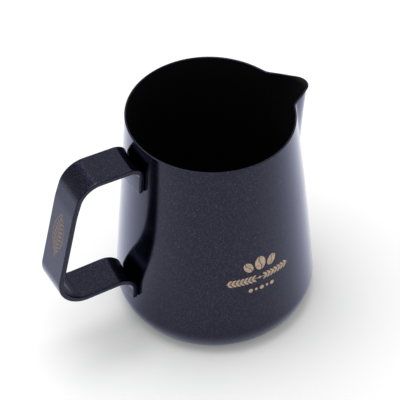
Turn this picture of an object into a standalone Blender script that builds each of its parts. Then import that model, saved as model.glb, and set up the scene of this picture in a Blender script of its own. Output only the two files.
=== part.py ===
"""Milk frothing pitcher: a drawn steel shell with a pressed spout, and a bent strip handle.

Metres, +Z up. The origin is the centre of the base's underside, the spout points along +X and
the handle is opposite, along -X. Every piece is mirrored about the XZ plane.
"""

import math

import bmesh
import bpy
from mathutils import Matrix, Vector

# ---- driving dimensions ------------------------------------------------------------------
RIM_HEIGHT = 0.1102           # rim above the table, measured over the body's axis
RIM_RADIUS = 0.0390           # outside of the wall at the rim
SHOULDER_RADIUS = 0.04675     # outside of the wall where the base corner ends
SHOULDER_HEIGHT = 0.0131
FOOT_RADIUS = 0.0401          # where the flat base starts to turn up
WALL = 0.0008                 # sheet thickness
GAP = 0.0003                  # clearance between pieces that touch

# Base corner and wall: two cubic curves that meet at the shoulder, bent by these numbers.
FOOT_RUN = 0.0022             # how far the corner stays level
CORNER_FULLNESS = 0.00052     # how far the corner swells past the shoulder
CORNER_SHARE = 0.50           # height of that swelling, as a share of the shoulder's height
WALL_LOW_DRAW = 0.00223       # wall drawn in by this much a third of the way up
WALL_HIGH_SWELL = 0.00217     # wall still this much wider than the rim two thirds of the way up

# Base: a flat disc with one shallow stiffening bead pressed upwards.
BEAD_INNER = 0.0270
BEAD_OUTER = 0.0320
BEAD_DEPTH = 0.0006

# Spout: a rounded V pressed outwards, growing from SPOUT_START up to the rim.
SPOUT_START = 0.0680
SPOUT_TIP = 0.0489            # from the axis to the tip, at the rim, before the lip's curl
SPOUT_GROWTH = 1.22           # power of the growth with height
FLANK_ANGLE_LOW = math.radians(32)
FLANK_ANGLE_RIM = math.radians(24.6)
NOSE_LOW = 0.55               # roundness of the nose of the V
NOSE_RIM = 0.166
CREASE = 0.00125              # roundness where a flank leaves the wall
PINCH = 0.0013                # how far the rim is drawn in beside the spout
PINCH_SPREAD = math.radians(75)
RIM_SLANT = 0.0295            # the rim falls this much per metre towards the spout
LIP_DROOP = 0.0016            # further fall at the spout's tip
LIP_CURL = 0.0009             # how far the lip turns outwards at the nose
LIP_CURL_DEPTH = 0.0018       # height over which it turns
LIP_CURL_ANGLE = math.radians(6.5)
LIP_CURL_POWER = 1.5          # more than 1 keeps the curl close to the edge
LIP_CURL_END = 8              # how suddenly the curl ends beside the nose

# Handle: one strip, bent into a loop, with a curved foot at each end.
STRIP_WIDTH = 0.0180
STRIP_THICKNESS = 0.0025
STRIP_EDGE = 0.0005
TOP_ARM_END = (0.0700, 0.10503)
GRIP_TOP = (0.07548, 0.08892)
GRIP_BOTTOM = (0.08869, 0.03428)
LOW_ARM_HEIGHT = 0.0343
TOP_ARM_ROOT_HEIGHT = 0.1035
TOP_FOOT_END = 0.0880
LOW_FOOT_END = 0.0223
TOP_FOLD_RADIUS = 0.0058
LOW_FOLD_RADIUS = 0.0068
TOP_BEND_RADIUS = 0.0128
GRIP_BEND_RADIUS = 0.0500
LOW_BEND_RADIUS = 0.0142

# Spot welds: two nuggets in each foot, in shallow pockets on the wall side.
WELD_RADIUS = 0.0016
WELD_OFFSET = 0.0050          # from the handle's centre plane
UPPER_WELD_HEIGHT = TOP_FOOT_END + 0.0045
LOWER_WELD_HEIGHT = LOW_FOOT_END + 0.0026
WELD_SEAT = 0.0004            # from the wall to the nugget; a little more than the gap, as the wall is round
POCKET_DEPTH = 0.0015
POCKET_OVERRUN = 0.0010       # how far each cutter starts inside the wall

COAT = ((0.030, 0.030, 0.037, 1.0), 0.45, 0.0)
COAT_STRIP = ((0.036, 0.036, 0.044, 1.0), 0.45, 0.0)
WELD = ((0.40, 0.39, 0.38, 1.0), 0.40, 1.0)

# ---- mesh resolution ---------------------------------------------------------------------
SPOUT_ARC = math.radians(45)  # half of the arc that has the finer columns
SPOUT_COLUMNS = 18
WALL_COLUMNS = 18             # over the rest of one half
CORNER_ROWS = 7
WALL_ROWS = 14
LIP_ROWS = 3
STRIP_COLUMNS = 8
OUTLINE_STEPS = (6, 9, 2, 9, 6)   # facets in each bend of the strip
EDGE_SEGMENTS = 2
DISC_SIDES = 24
SHARP_ANGLE = math.radians(35)
BEVEL_ANGLE = math.radians(60)
SLOPE_STEP = 0.001            # height step used to measure the wall's slope


# ---- general tools -----------------------------------------------------------------------
def clear_scene():
    for obj in list(bpy.data.objects):
        bpy.data.objects.remove(obj, do_unlink=True)


def material(name, look):
    colour, roughness, metallic = look
    mat = bpy.data.materials.new(name)
    mat.use_nodes = True
    shader = mat.node_tree.nodes["Principled BSDF"]
    shader.inputs["Base Color"].default_value = colour
    shader.inputs["Roughness"].default_value = roughness
    shader.inputs["Metallic"].default_value = metallic
    return mat


def add_object(name, bm, look=None):
    mesh = bpy.data.meshes.new(name)
    bm.normal_update()
    bm.to_mesh(mesh)
    bm.free()
    obj = bpy.data.objects.new(name, mesh)
    bpy.context.collection.objects.link(obj)
    if look:
        mesh.materials.append(material(name, look))
        mesh.shade_smooth()
        mesh.set_sharp_from_angle(angle=SHARP_ANGLE)
    return obj


def mix(a, b, t):
    return a + (b - a) * t


def bezier(points, t):
    """A point (radius, height) on a cubic Bezier curve."""
    weights = ((1 - t) ** 3, 3 * (1 - t) ** 2 * t, 3 * (1 - t) * t**2, t**3)
    return tuple(sum(w * p[i] for w, p in zip(weights, points)) for i in (0, 1))


def rounded_path(points, radii, steps):
    """The polyline through points with each inner corner turned into an arc."""
    path = [Vector(points[0])]
    for i, (radius, count) in enumerate(zip(radii, steps), start=1):
        corner = Vector(points[i])
        back = (Vector(points[i - 1]) - corner).normalized()
        ahead = (Vector(points[i + 1]) - corner).normalized()
        half = back.angle(ahead) / 2
        centre = corner + (back + ahead).normalized() * (radius / math.sin(half))
        start = corner + back * (radius / math.tan(half)) - centre
        end = corner + ahead * (radius / math.tan(half)) - centre
        turn = start.angle_signed(end)
        for k in range(count + 1):
            path.append(centre + Matrix.Rotation(-turn * k / count, 2) @ start)
    path.append(Vector(points[-1]))
    return path


# ---- body --------------------------------------------------------------------------------
CORNER_CURVE = (
    (FOOT_RADIUS, 0.0),
    (FOOT_RADIUS + FOOT_RUN, 0.0),
    (SHOULDER_RADIUS + CORNER_FULLNESS, CORNER_SHARE * SHOULDER_HEIGHT),
    (SHOULDER_RADIUS, SHOULDER_HEIGHT),
)
WALL_CURVE = (
    (SHOULDER_RADIUS, SHOULDER_HEIGHT),
    (SHOULDER_RADIUS - WALL_LOW_DRAW, mix(SHOULDER_HEIGHT, RIM_HEIGHT, 1 / 3)),
    (RIM_RADIUS + WALL_HIGH_SWELL, mix(SHOULDER_HEIGHT, RIM_HEIGHT, 2 / 3)),
    (RIM_RADIUS, RIM_HEIGHT),
)


def wall_radius(height):
    """Outside radius of the wall at a height above the base corner, without the spout."""
    return bezier(WALL_CURVE, (height - SHOULDER_HEIGHT) / (RIM_HEIGHT - SHOULDER_HEIGHT))[0]


def spout_growth(height):
    return max(0.0, (height - SPOUT_START) / (RIM_HEIGHT - SPOUT_START))


def lip_curl(angle, height):
    """How far the pouring lip turns outwards, over the spout's nose and close to its edge."""
    near_edge = max(0.0, 1 - (RIM_HEIGHT - height) / LIP_CURL_DEPTH)
    near_nose = 1 / (1 + (angle / LIP_CURL_ANGLE) ** LIP_CURL_END)
    return LIP_CURL * near_edge**LIP_CURL_POWER * near_nose


def outside_point(angle, radius, height):
    """A point of the outside surface, with the spout and the slant of the rim added."""
    rise = spout_growth(height)
    if rise > 0:
        size = rise**SPOUT_GROWTH
        flank = mix(FLANK_ANGLE_LOW, FLANK_ANGLE_RIM, rise)
        nose = mix(NOSE_LOW, NOSE_RIM, rise)
        tip = radius + (SPOUT_TIP - RIM_RADIUS) * size
        plain = radius
        if abs(angle) < PINCH_SPREAD:
            plain -= PINCH * size * 0.5 * (1 + math.cos(math.pi * angle / PINCH_SPREAD))
        bend = min(abs(angle), math.pi / 2 - flank)
        reach = math.cos(bend) * math.sin(flank) + math.hypot(math.sin(bend), nose) * math.cos(flank)
        step = tip * (math.sin(flank) + nose * math.cos(flank)) / reach - plain
        swell = 0.5 * (step + math.hypot(step, CREASE * rise))
        radius = plain + swell + lip_curl(angle, height)
        fall = RIM_SLANT * radius * math.cos(angle) + LIP_DROOP * swell / (SPOUT_TIP - RIM_RADIUS)
        height -= fall * rise
    return radius * math.cos(angle), radius * math.sin(angle), height


def body_angles():
    """Angles round the body: fine steps over the spout and wider steps elsewhere."""
    half = [SPOUT_ARC * k / SPOUT_COLUMNS for k in range(SPOUT_COLUMNS)]
    half += [mix(SPOUT_ARC, math.pi, k / WALL_COLUMNS) for k in range(WALL_COLUMNS + 1)]
    return half + [-a for a in reversed(half[1:-1])]


def wall_heights():
    """Heights of the rings up the wall, closer together over the curl of the lip."""
    curl_start = RIM_HEIGHT - LIP_CURL_DEPTH
    heights = [mix(SHOULDER_HEIGHT, curl_start, k / WALL_ROWS) for k in range(WALL_ROWS)]
    return heights + [mix(curl_start, RIM_HEIGHT, k / LIP_ROWS) for k in range(LIP_ROWS + 1)]


def body_stations():
    """(radius, height) of each ring, from the base outwards and then up the wall."""
    middle = (BEAD_INNER + BEAD_OUTER) / 2
    quarter = (BEAD_OUTER - BEAD_INNER) / 4
    stations = [
        (BEAD_INNER, 0.0),
        (BEAD_INNER + quarter, BEAD_DEPTH / 2),
        (middle, BEAD_DEPTH),
        (BEAD_OUTER - quarter, BEAD_DEPTH / 2),
        (BEAD_OUTER, 0.0),
    ]
    stations += [bezier(CORNER_CURVE, k / CORNER_ROWS) for k in range(CORNER_ROWS)]
    stations += [(wall_radius(height), height) for height in wall_heights()]
    return stations


def make_body():
    """The outside as one open sheet, thickened inwards, so the rim is the sheet's cut edge."""
    bm = bmesh.new()
    angles = body_angles()
    rings = [
        [bm.verts.new(outside_point(a, radius, height)) for a in angles]
        for radius, height in body_stations()
    ]
    bm.faces.new(list(reversed(rings[0])))
    for low, high in zip(rings, rings[1:]):
        for k in range(len(angles)):
            n = (k + 1) % len(angles)
            bm.faces.new((low[k], low[n], high[n], high[k]))
    obj = add_object("pitcher_body", bm, COAT)
    shell = obj.modifiers.new("sheet_thickness", "SOLIDIFY")
    shell.thickness = WALL
    shell.offset = -1
    shell.use_even_offset = True
    return obj


# ---- handle ------------------------------------------------------------------------------
def strip_outline():
    """The strip's outer face, seen from the side, as (distance from the axis, height)."""
    face = GAP + STRIP_THICKNESS
    points = (
        (wall_radius(TOP_FOOT_END) + GAP, TOP_FOOT_END),
        (wall_radius(TOP_ARM_ROOT_HEIGHT) + GAP, TOP_ARM_ROOT_HEIGHT),
        TOP_ARM_END,
        GRIP_TOP,
        GRIP_BOTTOM,
        (wall_radius(LOW_ARM_HEIGHT) + face, LOW_ARM_HEIGHT),
        (wall_radius(LOW_FOOT_END) + face, LOW_FOOT_END),
    )
    radii = (TOP_FOLD_RADIUS, TOP_BEND_RADIUS, GRIP_BEND_RADIUS, LOW_BEND_RADIUS, LOW_FOLD_RADIUS)
    return rounded_path(points, radii, OUTLINE_STEPS)


def foot_share(distance, seat_distance):
    """1 on a foot, where the strip hugs the round wall, falling to 0 past the fold."""
    t = min(1.0, max(0.0, (distance - seat_distance) / TOP_FOLD_RADIUS))
    return 1 - t * t * (3 - 2 * t)


def make_handle():
    bm = bmesh.new()
    outline = strip_outline()
    top_end = len(outline) // 2
    rows = []
    for index, (distance, height) in enumerate(outline):
        seat = wall_radius(height) + GAP
        if index > top_end:
            seat += STRIP_THICKNESS
        share = foot_share(distance, seat)
        row = []
        for k in range(STRIP_COLUMNS + 1):
            side = STRIP_WIDTH * (k / STRIP_COLUMNS - 0.5)
            curve = distance - math.sqrt(distance**2 - side**2)
            row.append(bm.verts.new((-(distance - share * curve), side, height)))
        rows.append(row)
    for a, b in zip(rows, rows[1:]):
        for k in range(STRIP_COLUMNS):
            bm.faces.new((a[k], a[k + 1], b[k + 1], b[k]))
    obj = add_object("handle_strap", bm, COAT_STRIP)
    strip = obj.modifiers.new("strip_thickness", "SOLIDIFY")
    strip.thickness = STRIP_THICKNESS
    strip.offset = -1
    strip.use_even_offset = True
    edge = obj.modifiers.new("eased_edges", "BEVEL")
    edge.width = STRIP_EDGE
    edge.segments = EDGE_SEGMENTS
    edge.limit_method = "ANGLE"
    edge.angle_limit = BEVEL_ANGLE
    return obj


# ---- welds -------------------------------------------------------------------------------
def disc(name, place, start, end, radius, look=None):
    """A short cylinder lying along the wall's normal, from start to end off the wall."""
    side, height = place
    wall = wall_radius(height)
    turn = math.asin(side / wall)
    narrowing = wall_radius(height - SLOPE_STEP) - wall_radius(height + SLOPE_STEP)
    slope = math.atan(narrowing / (2 * SLOPE_STEP))
    level = Vector((-math.cos(turn), math.sin(turn), 0)) * math.cos(slope)
    outwards = level + Vector((0, 0, math.sin(slope)))
    on_wall = Vector((-wall * math.cos(turn), wall * math.sin(turn), height))
    bm = bmesh.new()
    bmesh.ops.create_cone(
        bm, cap_ends=True, segments=DISC_SIDES, radius1=radius, radius2=radius, depth=end - start
    )
    turn_to_normal = outwards.to_track_quat("Z", "Y").to_matrix().to_4x4()
    place_matrix = Matrix.Translation(on_wall + outwards * (start + end) / 2) @ turn_to_normal
    bmesh.ops.transform(bm, matrix=place_matrix, verts=bm.verts)
    return add_object(name, bm, look)


def make_welds(handle):
    """Two nuggets in each foot, each in its own pocket with clearance all round."""
    pocket_end = GAP + POCKET_DEPTH
    for level, height in (("upper", UPPER_WELD_HEIGHT), ("lower", LOWER_WELD_HEIGHT)):
        for hand, side in (("left", WELD_OFFSET), ("right", -WELD_OFFSET)):
            place = (side, height)
            name = f"{level}_weld_{hand}"
            disc(name, place, WELD_SEAT, pocket_end - GAP, WELD_RADIUS, WELD)
            cutter = disc(f"{name}_pocket", place, -POCKET_OVERRUN, pocket_end, WELD_RADIUS + GAP)
            cutter.hide_render = True
            cutter.display_type = "WIRE"
            pocket = handle.modifiers.new(f"{name}_pocket", "BOOLEAN")
            pocket.operation = "DIFFERENCE"
            pocket.solver = "EXACT"
            pocket.object = cutter


clear_scene()
make_body()
make_welds(make_handle())
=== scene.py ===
"""Looks of the milk frothing pitcher: fine meshes, coating, etched ornament, light and camera."""
import math

import bmesh
import bpy
from mathutils import Matrix, Vector


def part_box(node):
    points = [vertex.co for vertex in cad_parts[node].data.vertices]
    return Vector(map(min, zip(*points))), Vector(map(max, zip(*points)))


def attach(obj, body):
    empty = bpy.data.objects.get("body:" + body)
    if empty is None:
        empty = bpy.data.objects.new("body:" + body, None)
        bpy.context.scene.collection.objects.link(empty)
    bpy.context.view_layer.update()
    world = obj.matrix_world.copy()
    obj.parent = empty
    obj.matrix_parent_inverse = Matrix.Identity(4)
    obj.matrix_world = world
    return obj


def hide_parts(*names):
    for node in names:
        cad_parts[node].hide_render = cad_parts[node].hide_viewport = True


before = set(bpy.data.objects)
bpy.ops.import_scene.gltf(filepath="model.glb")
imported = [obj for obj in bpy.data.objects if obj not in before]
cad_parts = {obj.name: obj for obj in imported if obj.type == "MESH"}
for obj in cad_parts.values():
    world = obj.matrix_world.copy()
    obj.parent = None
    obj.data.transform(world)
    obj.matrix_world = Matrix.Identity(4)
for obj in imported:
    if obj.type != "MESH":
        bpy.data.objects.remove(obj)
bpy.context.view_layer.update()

BODY_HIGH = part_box("pitcher_body")[1]

# ---- the pitcher's dimensions, in metres, as the CAD has them ------------------------------
RIM_SLANT = 0.0295
RIM_RADIUS = 0.0390
RIM_HEIGHT = 0.1102
SHOULDER_RADIUS = BODY_HIGH[1]
SHOULDER_HEIGHT = 0.0131
FOOT_RADIUS = 0.0401
FOOT_RUN = 0.0022
CORNER_FULLNESS = 0.00052
CORNER_SHARE = 0.50
WALL_LOW_DRAW = 0.00223
WALL_HIGH_SWELL = 0.00217
WALL = 0.0008
GAP = 0.0003

BEAD_INNER = 0.0270
BEAD_OUTER = 0.0320
BEAD_DEPTH = 0.0006

SPOUT_START = 0.0680
SPOUT_TIP = 0.0489
SPOUT_GROWTH = 1.22
FLANK_ANGLE_LOW = math.radians(32)
FLANK_ANGLE_RIM = math.radians(24.6)
NOSE_LOW = 0.55
NOSE_RIM = 0.166
CREASE = 0.00125
PINCH = 0.0013
PINCH_SPREAD = math.radians(75)
LIP_DROOP = 0.0016
LIP_CURL = 0.0009
LIP_CURL_DEPTH = 0.0018
LIP_CURL_ANGLE = math.radians(6.5)
LIP_CURL_POWER = 1.5
LIP_CURL_END = 8

STRIP_WIDTH = 0.0180
STRIP_THICKNESS = 0.0025
STRIP_EDGE = 0.0005
TOP_ARM_END = (0.0700, 0.10503)
GRIP_TOP = (0.07548, 0.08892)
GRIP_BOTTOM = (0.08869, 0.03428)
LOW_ARM_HEIGHT = 0.0343
TOP_ARM_ROOT_HEIGHT = 0.1035
TOP_FOOT_END = 0.0880
LOW_FOOT_END = 0.0223
TOP_FOLD_RADIUS = 0.0058
LOW_FOLD_RADIUS = 0.0068
TOP_BEND_RADIUS = 0.0128
GRIP_BEND_RADIUS = 0.0500
LOW_BEND_RADIUS = 0.0142

WELD_RADIUS = 0.0016
WELD_OFFSET = 0.0050
UPPER_WELD_HEIGHT = TOP_FOOT_END + 0.0045
LOWER_WELD_HEIGHT = LOW_FOOT_END + 0.0026
POCKET_DEPTH = 0.0015
POCKET_OVERRUN = 0.0010

# ---- fineness of the visible meshes ---------------------------------------------------------
SPOUT_ARC = math.radians(45)
SPOUT_COLUMNS = 60            # over half of the spout arc
WALL_COLUMNS = 72             # over the rest of one half
CORNER_ROWS = 16
WALL_ROWS = 64
LIP_ROWS = 8
LIP_EDGE = 0.00018
LIP_EDGE_SEGMENTS = 3
BASE_RINGS = 8
BEAD_ROWS = 12
FOOT_RINGS = 4
STRIP_COLUMNS = 20
STRIP_EDGE_SEGMENTS = 4
BEND_STEPS = (14, 24, 6, 24, 14)
POCKET_SIDES = 48
SHARP_ANGLE = math.radians(40)
EDGE_ANGLE = math.radians(60)

# ---- finish and light -----------------------------------------------------------------------
COAT_GROUND = (0.0, 0.0, 0.014, 1.0)
COAT_SPECK = (0.085, 0.083, 0.135, 1.0)
COAT_EDGE = (0.67, 0.72, 1.0, 1.0)
COAT_ROUGHNESS = 0.20
HANDLE_ROUGHNESS = 0.28
GRAIN_DENSITY = 5400                 # cells per metre
SPECK_SHARE = 0.12                   # share of the cells that are specks
SKIN_RIPPLE = 1500                   # waves per metre of the uneven skin
SKIN_RIPPLE_HEIGHT = 0.0001
VARNISH_WEIGHT = 1.0
VARNISH_IOR = 1.33
VARNISH_ROUGHNESS = 0.15
# inside colours: painted shade, a darker copy of the coating's ground for the pitcher's inside
INSIDE_SHADE_DARK = (0.002, 0.002, 0.003, 1.0)
INSIDE_SHADE_PALE = (0.005, 0.005, 0.007, 1.0)
BRIGHT_STEEL = (0.50, 0.385, 0.29, 1.0)
BRIGHT_STEEL_ROUGHNESS = 0.45
DULL_STEEL = (0.30, 0.235, 0.185, 1.0)
DULL_STEEL_ROUGHNESS = 0.50
FLOOR_DARK = (0.93, 0.93, 0.93, 1.0)
FLOOR_PALE = (0.96, 0.96, 0.96, 1.0)
WORLD_STRENGTH = 0.55
FLOOR_GLOW = 0.11
TOP_POWER = 8.1
TOP_PLACE = (-0.12, 0.20, 1.15)
TOP_SIZE = (0.9, 0.9)
BACK_POWER = 0.3
BACK_PLACE = (0.40, 0.75, 0.85)
BACK_SIZE = (0.6, 0.5)
FLOOR_REACH = 3.0
CAMERA_DISTANCE = 1.1
CAMERA_AZIMUTH = math.radians(-118.395)
CAMERA_ELEVATION = math.radians(45.101)
CAMERA_TRIM = (math.radians(-0.3199), math.radians(-0.0157), math.radians(1.2310))
CAMERA_LENS = 213.35
CAMERA_SENSOR = 36.0
AIM_HEIGHT = 0.055

# ---- ornament -------------------------------------------------------------------------------
ETCH_PROUD = 0.00002
ETCH_DEPTH = 0.00005
GRIP_MARK_FROM_TOP = 0.0160
BEANS_PLACE = (0.0, 52.8)            # millimetres across and up the unrolled wall, as below
GARLAND_PLACE = (-0.7, 44.4)
GARLAND_SPAN = 32.4
GARLAND_LEAF = 3.0
DOTS_PLACE = (0.0, 38.0)
DOTS_SPAN = 11.2
GRIP_LEAF = (24.0, 9.4)
MM = 0.001
PATCH_ROWS = 10
DOT_ROWS = 8
DOT_RADII = (1.10, 0.72)             # large and small, in turn
MIDDLE_DOT = 0.75
BEAN_ROWS = 16
BEAN_SEAM = 0.36
BEAN_SEAM_BOW = 0.13                 # share of the bean's width
BIG_BEAN = (7.8, 5.4)
SMALL_BEAN = (6.2, 4.2)
SMALL_BEAN_SHIFT = (5.9, -0.7)
SMALL_BEAN_TILT = math.radians(28)
STEM_WIDTH = 0.34
STEM_PAIRS = 7
STEM_END = 0.6                       # from the stem's end to the first leaves
STEM_BARE = 4.0                      # from the last leaves to the stem's middle
STEM_LEAF_LEAN = math.radians(42)
STEM_LEAF_WIDTH = 1.15
STEM_LEAF_BOW = 0.12
STEM_LEAF_OFFSET = 0.05
GRIP_OUTLINE_WIDTH = 0.40
GRIP_RIB_WIDTH = 0.44
GRIP_VEIN_WIDTH = 0.28
GRIP_VEIN_RISE = 2.5
GRIP_VEIN_PAIRS = 9
GRIP_STALK = 1.2
GRIP_LEAFLET_WIDTH = 0.75
GRIP_LEAFLET_SHARE = 0.8             # of the vein's reach
GRIP_LEAFLET_ROOT = (0.3, 0.9)       # from the vein's root
GRIP_FIRST_VEIN = 1.6
GRIP_RIB_END = 0.6
HAIR = 0.01                          # least width of a half bean at its ends


# ---- general tools --------------------------------------------------------------------------
def mix(a, b, t):
    return a + (b - a) * t


def bezier(points, t):
    """A point (radius, height) on a cubic Bezier curve."""
    weights = ((1 - t) ** 3, 3 * (1 - t) ** 2 * t, 3 * (1 - t) * t**2, t**3)
    return tuple(sum(w * p[i] for w, p in zip(weights, points)) for i in (0, 1))


def rounded_path(points, radii, steps):
    """The polyline through points with each inner corner turned into an arc."""
    path = [Vector(points[0])]
    for i, (radius, count) in enumerate(zip(radii, steps), start=1):
        corner = Vector(points[i])
        back = (Vector(points[i - 1]) - corner).normalized()
        ahead = (Vector(points[i + 1]) - corner).normalized()
        half = back.angle(ahead) / 2
        centre = corner + (back + ahead).normalized() * (radius / math.sin(half))
        start = corner + back * (radius / math.tan(half)) - centre
        end = corner + ahead * (radius / math.tan(half)) - centre
        turn = start.angle_signed(end)
        for k in range(count + 1):
            path.append(centre + Matrix.Rotation(-turn * k / count, 2) @ start)
    path.append(Vector(points[-1]))
    return path


def new_object(name, bm, material=None):
    mesh = bpy.data.meshes.new(name)
    bm.normal_update()
    bm.to_mesh(mesh)
    bm.free()
    obj = bpy.data.objects.new(name, mesh)
    bpy.context.collection.objects.link(obj)
    if material:
        mesh.materials.append(material)
    return obj


def apply_modifiers(obj):
    """Turns the object's mesh into its evaluated mesh, smooth except over sharp edges."""
    shaped = bpy.data.meshes.new_from_object(obj.evaluated_get(bpy.context.evaluated_depsgraph_get()))
    obj.modifiers.clear()
    obj.data = shaped
    shaped.shade_smooth()
    shaped.set_sharp_from_angle(angle=SHARP_ANGLE)


def add_piece(obj, slot, *nodes):
    """The object rides on the one body and stands for CAD nodes, which it hides; slot is not used."""
    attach(obj, "root")
    if nodes:
        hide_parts(*nodes)


# ---- materials ------------------------------------------------------------------------------
class Nodes:
    """Builds a node material, one node per call."""

    def __init__(self, name):
        self.material = bpy.data.materials.new(name)
        self.material.use_nodes = True
        self.tree = self.material.node_tree
        self.shader = self.tree.nodes["Principled BSDF"]
        self.place = self.add("ShaderNodeTexCoord").outputs["Object"]

    def add(self, kind, **settings):
        node = self.tree.nodes.new(kind)
        for key, value in settings.items():
            setattr(node, key, value)
        return node

    def link(self, source, target):
        self.tree.links.new(source, target)

    def set(self, **values):
        """Constant socket values, named like the sockets with spaces as underscores."""
        sockets = {s.name.lower().replace(" ", "_"): s for s in self.shader.inputs}
        for key, value in values.items():
            sockets[key].default_value = value

    def noise(self, scale, detail=2.0, stretch=None):
        node = self.add("ShaderNodeTexNoise")
        node.inputs["Scale"].default_value = scale
        node.inputs["Detail"].default_value = detail
        place = self.place
        if stretch:
            mapping = self.add("ShaderNodeMapping")
            mapping.inputs["Scale"].default_value = stretch
            self.link(place, mapping.inputs["Vector"])
            place = mapping.outputs["Vector"]
        self.link(place, node.inputs["Vector"])
        return node.outputs["Fac"]

    def cells(self, scale):
        """A random grey for each cell of a fine grain."""
        node = self.add("ShaderNodeTexVoronoi")
        node.inputs["Scale"].default_value = scale
        self.link(self.place, node.inputs["Vector"])
        split = self.add("ShaderNodeSeparateColor")
        self.link(node.outputs["Color"], split.inputs["Color"])
        return split.outputs["Red"]

    def span(self, source, low, high, to_low, to_high):
        node = self.add("ShaderNodeMapRange")
        for key, value in zip(("From Min", "From Max", "To Min", "To Max"), (low, high, to_low, to_high)):
            node.inputs[key].default_value = value
        self.link(source, node.inputs["Value"])
        return node.outputs["Result"]

    def blend(self, factor, first, second):
        node = self.add("ShaderNodeMix", data_type="RGBA")
        self.link(factor, node.inputs["Factor"])
        for socket, value in ((node.inputs["A"], first), (node.inputs["B"], second)):
            colours = [s for s in node.inputs if s.name == socket.name and s.type == "RGBA"]
            if isinstance(value, tuple):
                colours[0].default_value = value
            else:
                self.link(value, colours[0])
        return [s for s in node.outputs if s.type == "RGBA"][0]

    def bump(self, height, strength, distance, after=None):
        node = self.add("ShaderNodeBump")
        node.inputs["Strength"].default_value = strength
        node.inputs["Distance"].default_value = distance
        self.link(height, node.inputs["Height"])
        if after:
            self.link(after, node.inputs["Normal"])
        return node.outputs["Normal"]


def coating(name, roughness):
    """Black coating: a dark ground with fine mineral specks and a slightly uneven, satin skin."""
    m = Nodes(name)
    grain = m.cells(GRAIN_DENSITY)
    cloud = m.noise(60, 3.0)
    ripple = m.noise(SKIN_RIPPLE, 2.0)
    speckle = m.span(grain, 1.0 - SPECK_SHARE, 1.0, 0.0, 1.0)
    m.link(m.blend(speckle, COAT_GROUND, COAT_SPECK), m.shader.inputs["Base Color"])
    m.link(m.span(cloud, 0.3, 0.7, roughness - 0.02, roughness + 0.03), m.shader.inputs["Roughness"])
    m.link(m.bump(ripple, 0.10, SKIN_RIPPLE_HEIGHT), m.shader.inputs["Normal"])
    m.set(metallic=1.0, specular_tint=COAT_EDGE)
    m.set(coat_weight=VARNISH_WEIGHT, coat_ior=VARNISH_IOR, coat_roughness=VARNISH_ROUGHNESS)
    return m.material


def inside_coating():
    """The same black coating inside, darker and matt, without the bluish bloom: painted shade that keeps
    the inside black and free of reflections.
    """
    m = Nodes("inside_coating")
    grain = m.noise(SKIN_RIPPLE, 3.0)
    m.link(m.blend(grain, INSIDE_SHADE_DARK, INSIDE_SHADE_PALE), m.shader.inputs["Base Color"])
    m.link(m.span(grain, 0.3, 0.7, 0.50, 0.60), m.shader.inputs["Roughness"])
    m.link(m.bump(grain, 0.10, SKIN_RIPPLE_HEIGHT), m.shader.inputs["Normal"])
    m.set(specular_ior_level=0.25)
    return m.material


def etched_steel(name, colour, roughness):
    """Steel laid bare by a laser: fine parallel lines and small blotches."""
    m = Nodes(name)
    lines = m.noise(900, 2.0, stretch=(1, 1, 14))
    blotch = m.noise(700, 2.0)
    darker = tuple(0.72 * c for c in colour[:3]) + (1.0,)
    m.link(m.blend(m.span(blotch, 0.35, 0.65, 0.0, 1.0), darker, colour), m.shader.inputs["Base Color"])
    m.link(m.span(lines, 0.3, 0.7, roughness - 0.08, roughness + 0.08), m.shader.inputs["Roughness"])
    m.link(m.bump(lines, 0.15, 0.00005), m.shader.inputs["Normal"])
    m.set(metallic=1.0)
    return m.material


def floor_paper():
    m = Nodes("pale_floor")
    fibre = m.noise(220, 4.0)
    m.link(m.blend(fibre, FLOOR_DARK, FLOOR_PALE), m.shader.inputs["Base Color"])
    m.link(m.bump(fibre, 0.03, 0.0002), m.shader.inputs["Normal"])
    m.set(roughness=0.9, specular_ior_level=0.1)
    m.set(emission_color=(1.0, 1.0, 1.0, 1.0), emission_strength=FLOOR_GLOW)
    return m.material


# ---- body -----------------------------------------------------------------------------------
CORNER_CURVE = (
    (FOOT_RADIUS, 0.0),
    (FOOT_RADIUS + FOOT_RUN, 0.0),
    (SHOULDER_RADIUS + CORNER_FULLNESS, CORNER_SHARE * SHOULDER_HEIGHT),
    (SHOULDER_RADIUS, SHOULDER_HEIGHT),
)
WALL_CURVE = (
    (SHOULDER_RADIUS, SHOULDER_HEIGHT),
    (SHOULDER_RADIUS - WALL_LOW_DRAW, mix(SHOULDER_HEIGHT, RIM_HEIGHT, 1 / 3)),
    (RIM_RADIUS + WALL_HIGH_SWELL, mix(SHOULDER_HEIGHT, RIM_HEIGHT, 2 / 3)),
    (RIM_RADIUS, RIM_HEIGHT),
)


def wall_radius(height):
    """Outside radius of the wall at a height above the base corner, without the spout."""
    return bezier(WALL_CURVE, (height - SHOULDER_HEIGHT) / (RIM_HEIGHT - SHOULDER_HEIGHT))[0]


def lip_curl(angle, height):
    """How far the pouring lip turns outwards, over the spout's nose and close to its edge."""
    near_edge = max(0.0, 1 - (RIM_HEIGHT - height) / LIP_CURL_DEPTH)
    near_nose = 1 / (1 + (angle / LIP_CURL_ANGLE) ** LIP_CURL_END)
    return LIP_CURL * near_edge**LIP_CURL_POWER * near_nose


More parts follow.
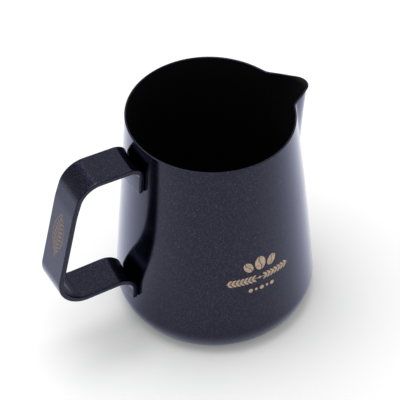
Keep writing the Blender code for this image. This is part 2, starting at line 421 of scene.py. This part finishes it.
def outside_point(angle, radius, height):
    """A point of the outside surface, with the spout and the slant of the rim added."""
    rise = max(0.0, (height - SPOUT_START) / (RIM_HEIGHT - SPOUT_START))
    if rise > 0:
        size = rise**SPOUT_GROWTH
        flank = mix(FLANK_ANGLE_LOW, FLANK_ANGLE_RIM, rise)
        nose = mix(NOSE_LOW, NOSE_RIM, rise)
        tip = radius + (SPOUT_TIP - RIM_RADIUS) * size
        plain = radius
        if abs(angle) < PINCH_SPREAD:
            plain -= PINCH * size * 0.5 * (1 + math.cos(math.pi * angle / PINCH_SPREAD))
        bend = min(abs(angle), math.pi / 2 - flank)
        reach = math.cos(bend) * math.sin(flank) + math.hypot(math.sin(bend), nose) * math.cos(flank)
        step = tip * (math.sin(flank) + nose * math.cos(flank)) / reach - plain
        swell = 0.5 * (step + math.hypot(step, CREASE * rise))
        radius = plain + swell + lip_curl(angle, height)
        fall = RIM_SLANT * radius * math.cos(angle) + LIP_DROOP * swell / (SPOUT_TIP - RIM_RADIUS)
        height -= fall * rise
    return Vector((radius * math.cos(angle), radius * math.sin(angle), height))


def body_angles():
    half = [SPOUT_ARC * k / SPOUT_COLUMNS for k in range(SPOUT_COLUMNS)]
    half += [mix(SPOUT_ARC, math.pi, k / WALL_COLUMNS) for k in range(WALL_COLUMNS + 1)]
    return half + [-a for a in reversed(half[1:-1])]


def wall_heights():
    """Heights of the rings up the wall, closer together over the curl of the lip."""
    curl_start = RIM_HEIGHT - LIP_CURL_DEPTH
    heights = [mix(SHOULDER_HEIGHT, curl_start, k / WALL_ROWS) for k in range(WALL_ROWS)]
    return heights + [mix(curl_start, RIM_HEIGHT, k / LIP_ROWS) for k in range(LIP_ROWS + 1)]


def body_stations():
    """(radius, height) of each ring, from the base's middle outwards and then up the wall."""
    stations = [(BEAD_INNER * k / BASE_RINGS, 0.0) for k in range(1, BASE_RINGS)]
    for k in range(BEAD_ROWS + 1):
        lift = BEAD_DEPTH * 0.5 * (1 - math.cos(2 * math.pi * k / BEAD_ROWS))
        stations.append((mix(BEAD_INNER, BEAD_OUTER, k / BEAD_ROWS), lift))
    stations += [(mix(BEAD_OUTER, FOOT_RADIUS, k / FOOT_RINGS), 0.0) for k in range(1, FOOT_RINGS)]
    stations += [bezier(CORNER_CURVE, k / CORNER_ROWS) for k in range(CORNER_ROWS)]
    stations += [(wall_radius(height), height) for height in wall_heights()]
    return stations


def make_body(outside, inside):
    bm = bmesh.new()
    angles = body_angles()
    rings = [[bm.verts.new(outside_point(a, r, h)) for a in angles] for r, h in body_stations()]
    middle = bm.verts.new((0, 0, 0))
    for k in range(len(angles)):
        n = (k + 1) % len(angles)
        bm.faces.new((rings[0][n], rings[0][k], middle))
    for low, high in zip(rings, rings[1:]):
        for k in range(len(angles)):
            n = (k + 1) % len(angles)
            bm.faces.new((low[k], low[n], high[n], high[k]))
    obj = new_object("coated_body", bm, outside)
    # the inner shell takes the inside material, a darker matt copy of the coating: painted shade
    obj.data.materials.append(inside)
    shell = obj.modifiers.new("sheet_thickness", "SOLIDIFY")
    shell.thickness = WALL
    shell.offset = -1
    shell.use_even_offset = True
    shell.material_offset = 1
    lip = obj.modifiers.new("rounded_lip", "BEVEL")
    lip.width = LIP_EDGE
    lip.segments = LIP_EDGE_SEGMENTS
    lip.limit_method = "ANGLE"
    lip.angle_limit = EDGE_ANGLE
    apply_modifiers(obj)
    add_piece(obj, "black_coating", "pitcher_body")


# ---- handle ---------------------------------------------------------------------------------
def strip_outline():
    """The strip's outer face, seen from the side, as (distance from the axis, height)."""
    face = GAP + STRIP_THICKNESS
    points = (
        (wall_radius(TOP_FOOT_END) + GAP, TOP_FOOT_END),
        (wall_radius(TOP_ARM_ROOT_HEIGHT) + GAP, TOP_ARM_ROOT_HEIGHT),
        TOP_ARM_END,
        GRIP_TOP,
        GRIP_BOTTOM,
        (wall_radius(LOW_ARM_HEIGHT) + face, LOW_ARM_HEIGHT),
        (wall_radius(LOW_FOOT_END) + face, LOW_FOOT_END),
    )
    radii = (TOP_FOLD_RADIUS, TOP_BEND_RADIUS, GRIP_BEND_RADIUS, LOW_BEND_RADIUS, LOW_FOLD_RADIUS)
    return rounded_path(points, radii, steps=BEND_STEPS)


def foot_share(distance, seat_distance):
    """1 on a foot, where the strip hugs the round wall, falling to 0 past the fold."""
    t = min(1.0, max(0.0, (distance - seat_distance) / TOP_FOLD_RADIUS))
    return 1 - t * t * (3 - 2 * t)


def weld_frame(side, height):
    """A matrix with Z along the wall's outward normal and its origin on the wall."""
    wall = wall_radius(height)
    turn = math.asin(side / wall)
    slope = math.atan((wall_radius(height - MM) - wall_radius(height + MM)) / (2 * MM))
    level = math.cos(slope)
    outwards = Vector((-math.cos(turn) * level, math.sin(turn) * level, math.sin(slope)))
    on_wall = Vector((-wall * math.cos(turn), wall * math.sin(turn), height))
    return Matrix.Translation(on_wall) @ outwards.to_track_quat("Z", "Y").to_matrix().to_4x4()


def cut_weld_pockets(handle):
    start, end = -POCKET_OVERRUN, GAP + POCKET_DEPTH
    cutters = []
    for height in (UPPER_WELD_HEIGHT, LOWER_WELD_HEIGHT):
        for side in (WELD_OFFSET, -WELD_OFFSET):
            bm = bmesh.new()
            radius = WELD_RADIUS + GAP
            bmesh.ops.create_cone(
                bm, cap_ends=True, segments=POCKET_SIDES, radius1=radius, radius2=radius, depth=end - start
            )
            middle = Matrix.Translation((0, 0, (start + end) / 2))
            bmesh.ops.transform(bm, matrix=weld_frame(side, height) @ middle, verts=bm.verts)
            cutters.append(new_object("pocket_cutter", bm))
            pocket = handle.modifiers.new("pocket", "BOOLEAN")
            pocket.operation = "DIFFERENCE"
            pocket.object = cutters[-1]
    return cutters


def make_handle(material):
    bm = bmesh.new()
    outline = strip_outline()
    rows = []
    for index, (distance, height) in enumerate(outline):
        seat = wall_radius(height) + GAP
        if index > len(outline) // 2:
            seat += STRIP_THICKNESS
        share = foot_share(distance, seat)
        row = []
        for k in range(STRIP_COLUMNS + 1):
            side = STRIP_WIDTH * (k / STRIP_COLUMNS - 0.5)
            curve = distance - math.sqrt(distance**2 - side**2)
            row.append(bm.verts.new((-(distance - share * curve), side, height)))
        rows.append(row)
    for a, b in zip(rows, rows[1:]):
        for k in range(STRIP_COLUMNS):
            bm.faces.new((a[k], a[k + 1], b[k + 1], b[k]))
    obj = new_object("coated_handle", bm, material)
    strip = obj.modifiers.new("strip_thickness", "SOLIDIFY")
    strip.thickness = STRIP_THICKNESS
    strip.offset = -1
    strip.use_even_offset = True
    edge = obj.modifiers.new("eased_edges", "BEVEL")
    edge.width = STRIP_EDGE
    edge.segments = STRIP_EDGE_SEGMENTS
    edge.limit_method = "ANGLE"
    edge.angle_limit = EDGE_ANGLE
    cutters = cut_weld_pockets(obj)
    apply_modifiers(obj)
    for cutter in cutters:
        bpy.data.objects.remove(cutter, do_unlink=True)
    add_piece(obj, "black_coating", "handle_strap")


# ---- etched ornament ------------------------------------------------------------------------
# Each shape is a patch: rows of (across, up) points in millimetres on the unrolled surface.
def turned(points, angle, centre):
    c, s = math.cos(angle), math.sin(angle)
    return [(centre[0] + c * x - s * y, centre[1] + s * x + c * y) for x, y in points]


def leaf(centre, angle, length, width, bow=0.0):
    """A pointed leaf that starts at centre and runs along angle, with a slight bow."""
    patch = []
    for i in range(PATCH_ROWS + 1):
        t = i / PATCH_ROWS
        half = 0.5 * width * math.sin(math.pi * t) ** 0.75
        lift = bow * math.sin(math.pi * t)
        patch.append(turned([(t * length, lift + half * v) for v in (-1, -0.5, 0, 0.5, 1)], angle, centre))
    return patch


def stroke(start, end, width, bow=0.0):
    """A line of even width with a slight bow."""
    run = math.dist(start, end)
    angle = math.atan2(end[1] - start[1], end[0] - start[0])
    steps = max(4, round(run))
    patch = []
    for i in range(steps + 1):
        lift = bow * math.sin(math.pi * i / steps)
        patch.append(turned([(run * i / steps, lift + width * v) for v in (-0.5, 0.5)], angle, start))
    return patch


def dot(centre, radius):
    patch = []
    for i in range(DOT_ROWS + 1):
        x = -math.cos(math.pi * i / DOT_ROWS)
        half = math.sqrt(1 - x * x) + 0.001
        patch.append([(centre[0] + radius * x, centre[1] + radius * half * v) for v in (-1, -0.3, 0.3, 1)])
    return patch


def bean(centre, angle, length, width):
    """A coffee bean: two half ovals on either side of a curved seam."""
    halves = []
    for hand in (-1, 1):
        patch = []
        for i in range(BEAN_ROWS + 1):
            t = -math.cos(math.pi * i / BEAN_ROWS)
            middle = BEAN_SEAM_BOW * width * math.sin(math.pi * t)
            edge = hand * 0.5 * width * math.sqrt(max(0.0, 1 - t * t))
            inner = middle + hand * 0.5 * BEAN_SEAM
            if hand * (edge - inner) < HAIR:
                inner = edge - hand * HAIR
            row = [(0.5 * length * t, mix(inner, edge, k / 4)) for k in range(5)]
            patch.append(turned(row, angle, centre))
        halves.append(patch)
    return halves


def beans_emblem(centre):
    x, y = centre
    aside, lift = SMALL_BEAN_SHIFT
    shapes = bean((x, y), math.pi / 2, *BIG_BEAN)
    for hand in (-1, 1):
        shapes += bean((x + hand * aside, y + lift), math.pi / 2 - hand * SMALL_BEAN_TILT, *SMALL_BEAN)
    return shapes


def garland(centre, span, leaf_length):
    """A level stem with leaves in pairs, growing from both ends towards the middle."""
    x, y = centre
    shapes = [stroke((x - span / 2, y), (x + span / 2, y), STEM_WIDTH)]
    for hand in (-1, 1):
        ahead = 0.0 if hand < 0 else math.pi
        for k in range(STEM_PAIRS):
            root = x + hand * mix(span / 2 - STEM_END, STEM_BARE, k / (STEM_PAIRS - 1))
            for side in (-1, 1):
                place = (root, y + STEM_LEAF_OFFSET * side)
                turn = ahead - hand * side * STEM_LEAF_LEAN
                shapes.append(leaf(place, turn, leaf_length, STEM_LEAF_WIDTH, STEM_LEAF_BOW * side))
    shapes.append(dot((x, y), MIDDLE_DOT))
    return shapes


def dot_row(centre, span, count):
    x, y = centre
    return [dot((x + span * (k / (count - 1) - 0.5), y), DOT_RADII[k % 2]) for k in range(count)]


def veined_leaf(length, width):
    """An upright leaf for the grip, drawn in thin lines, with its tip towards the handle's top."""
    half = length / 2
    shapes = [stroke((0, -half), (0, half), GRIP_OUTLINE_WIDTH, hand * width / 2) for hand in (-1, 1)]
    shapes.append(stroke((0, -half - GRIP_STALK), (0, half - GRIP_RIB_END), GRIP_RIB_WIDTH))
    for k in range(GRIP_VEIN_PAIRS):
        root = mix(-half + GRIP_FIRST_VEIN, half - 2 * GRIP_VEIN_RISE, k / (GRIP_VEIN_PAIRS - 1))
        tip = root + GRIP_VEIN_RISE
        reach = 0.5 * width * math.sin(math.pi * (tip + half) / length)
        for hand in (-1, 1):
            shapes.append(stroke((0, root), (hand * reach, tip), GRIP_VEIN_WIDTH))
            angle = math.atan2(GRIP_VEIN_RISE, hand * reach)
            place = (hand * GRIP_LEAFLET_ROOT[0], root + GRIP_LEAFLET_ROOT[1])
            shapes.append(leaf(place, angle, GRIP_LEAFLET_SHARE * reach, GRIP_LEAFLET_WIDTH))
    return shapes


def make_etching(name, shapes, place, material):
    """Lays patches on a surface. place gives the point and normal for (across, up) in millimetres."""
    bm = bmesh.new()
    for patch in shapes:
        rows = []
        for row in patch:
            made = []
            for across, up in row:
                point, normal = place(across * MM, up * MM)
                made.append(bm.verts.new(point + normal * ETCH_PROUD))
            rows.append(made)
        for a, b in zip(rows, rows[1:]):
            for k in range(len(a) - 1):
                bm.faces.new((a[k], a[k + 1], b[k + 1], b[k]))
    bm.normal_update()
    outwards = place(0.0, 0.0)[1]
    bmesh.ops.reverse_faces(bm, faces=[f for f in bm.faces if f.normal.dot(outwards) < 0])
    obj = new_object(name, bm, material)
    plate = obj.modifiers.new("depth", "SOLIDIFY")
    plate.thickness = ETCH_PROUD + ETCH_DEPTH
    plate.offset = -1
    apply_modifiers(obj)
    add_piece(obj, "bare_steel")


def on_side(across, up):
    """A place on the wall's -Y side, up from the base."""
    angle = -math.pi / 2 + across / wall_radius(up)
    point = outside_point(angle, wall_radius(up), up)
    slope = (wall_radius(up - MM) - wall_radius(up + MM)) / (2 * MM)
    return point, Vector((math.cos(angle), math.sin(angle), slope)).normalized()


def on_grip(across, up):
    """A place on the grip's outer face, measured from the ornament's middle on the grip."""
    top, bottom = Vector(GRIP_TOP), Vector(GRIP_BOTTOM)
    down = (bottom - top).normalized()
    spot = top + down * (GRIP_MARK_FROM_TOP - up)
    return Vector((-spot.x, -across, spot.y)), Vector((down.y, 0, down.x)).normalized()


# ---- stage, light and camera ----------------------------------------------------------------
def make_floor():
    bm = bmesh.new()
    bmesh.ops.create_grid(bm, x_segments=8, y_segments=8, size=FLOOR_REACH)
    floor = new_object("floor", bm, floor_paper())


def make_world():
    world = bpy.data.worlds.new("studio")
    world.use_nodes = True
    world.node_tree.nodes["Background"].inputs["Color"].default_value = (1.0, 1.0, 1.0, 1.0)
    world.node_tree.nodes["Background"].inputs["Strength"].default_value = WORLD_STRENGTH
    bpy.context.scene.world = world


def add_softbox(name, place, aim, size, power):
    data = bpy.data.lights.new(name, "AREA")
    data.shape = "RECTANGLE"
    data.size, data.size_y = size
    data.energy = power
    light = bpy.data.objects.new(name, data)
    light.location = place
    light.rotation_euler = (Vector(aim) - Vector(place)).to_track_quat("-Z", "Y").to_euler()
    bpy.context.collection.objects.link(light)


def make_camera():
    """Looks down 45 degrees from the handle's side of the -Y side, through a long lens."""
    aim = Vector((0, 0, AIM_HEIGHT))
    level = Vector((math.cos(CAMERA_AZIMUTH), math.sin(CAMERA_AZIMUTH), 0))
    back = level * math.cos(CAMERA_ELEVATION) + Vector((0, 0, math.sin(CAMERA_ELEVATION)))
    yaw, pitch, roll = CAMERA_TRIM
    right = Vector((0, 0, 1)).cross(back).normalized()
    base = Matrix((right, back.cross(right), back))
    trim = Matrix.Rotation(roll, 3, "Z") @ Matrix.Rotation(pitch, 3, "X") @ Matrix.Rotation(yaw, 3, "Y")
    data = bpy.data.cameras.new("camera")
    data.sensor_width = CAMERA_SENSOR
    data.lens = CAMERA_LENS
    camera = bpy.data.objects.new("camera", data)
    turned_to_aim = (trim @ base).transposed().to_4x4()
    camera.matrix_world = Matrix.Translation(aim + back * CAMERA_DISTANCE) @ turned_to_aim
    bpy.context.collection.objects.link(camera)
    bpy.context.scene.camera = camera


# ---- build ----------------------------------------------------------------------------------
bpy.context.scene.view_settings.view_transform = "Standard"
make_body(coating("body_coating", COAT_ROUGHNESS), inside_coating())
make_handle(coating("handle_coating", HANDLE_ROUGHNESS))
bright_steel = etched_steel("etched_steel_bright", BRIGHT_STEEL, BRIGHT_STEEL_ROUGHNESS)
dull_steel = etched_steel("etched_steel_dull", DULL_STEEL, DULL_STEEL_ROUGHNESS)
side_ornament = beans_emblem(BEANS_PLACE)
side_ornament += garland(GARLAND_PLACE, GARLAND_SPAN, GARLAND_LEAF)
side_ornament += dot_row(DOTS_PLACE, DOTS_SPAN, 5)
make_etching("side_ornament", side_ornament, on_side, bright_steel)
make_etching("grip_ornament", veined_leaf(*GRIP_LEAF), on_grip, dull_steel)
for weld in ("upper_weld_left", "upper_weld_right", "lower_weld_left", "lower_weld_right"):
    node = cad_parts[weld]
    node.data.materials.clear()
    node.data.materials.append(dull_steel)
make_floor()
make_world()
add_softbox("top_softbox", TOP_PLACE, (0, 0, 0), TOP_SIZE, TOP_POWER)
add_softbox("back_softbox", BACK_PLACE, (0, 0, 0), BACK_SIZE, BACK_POWER)
make_camera()
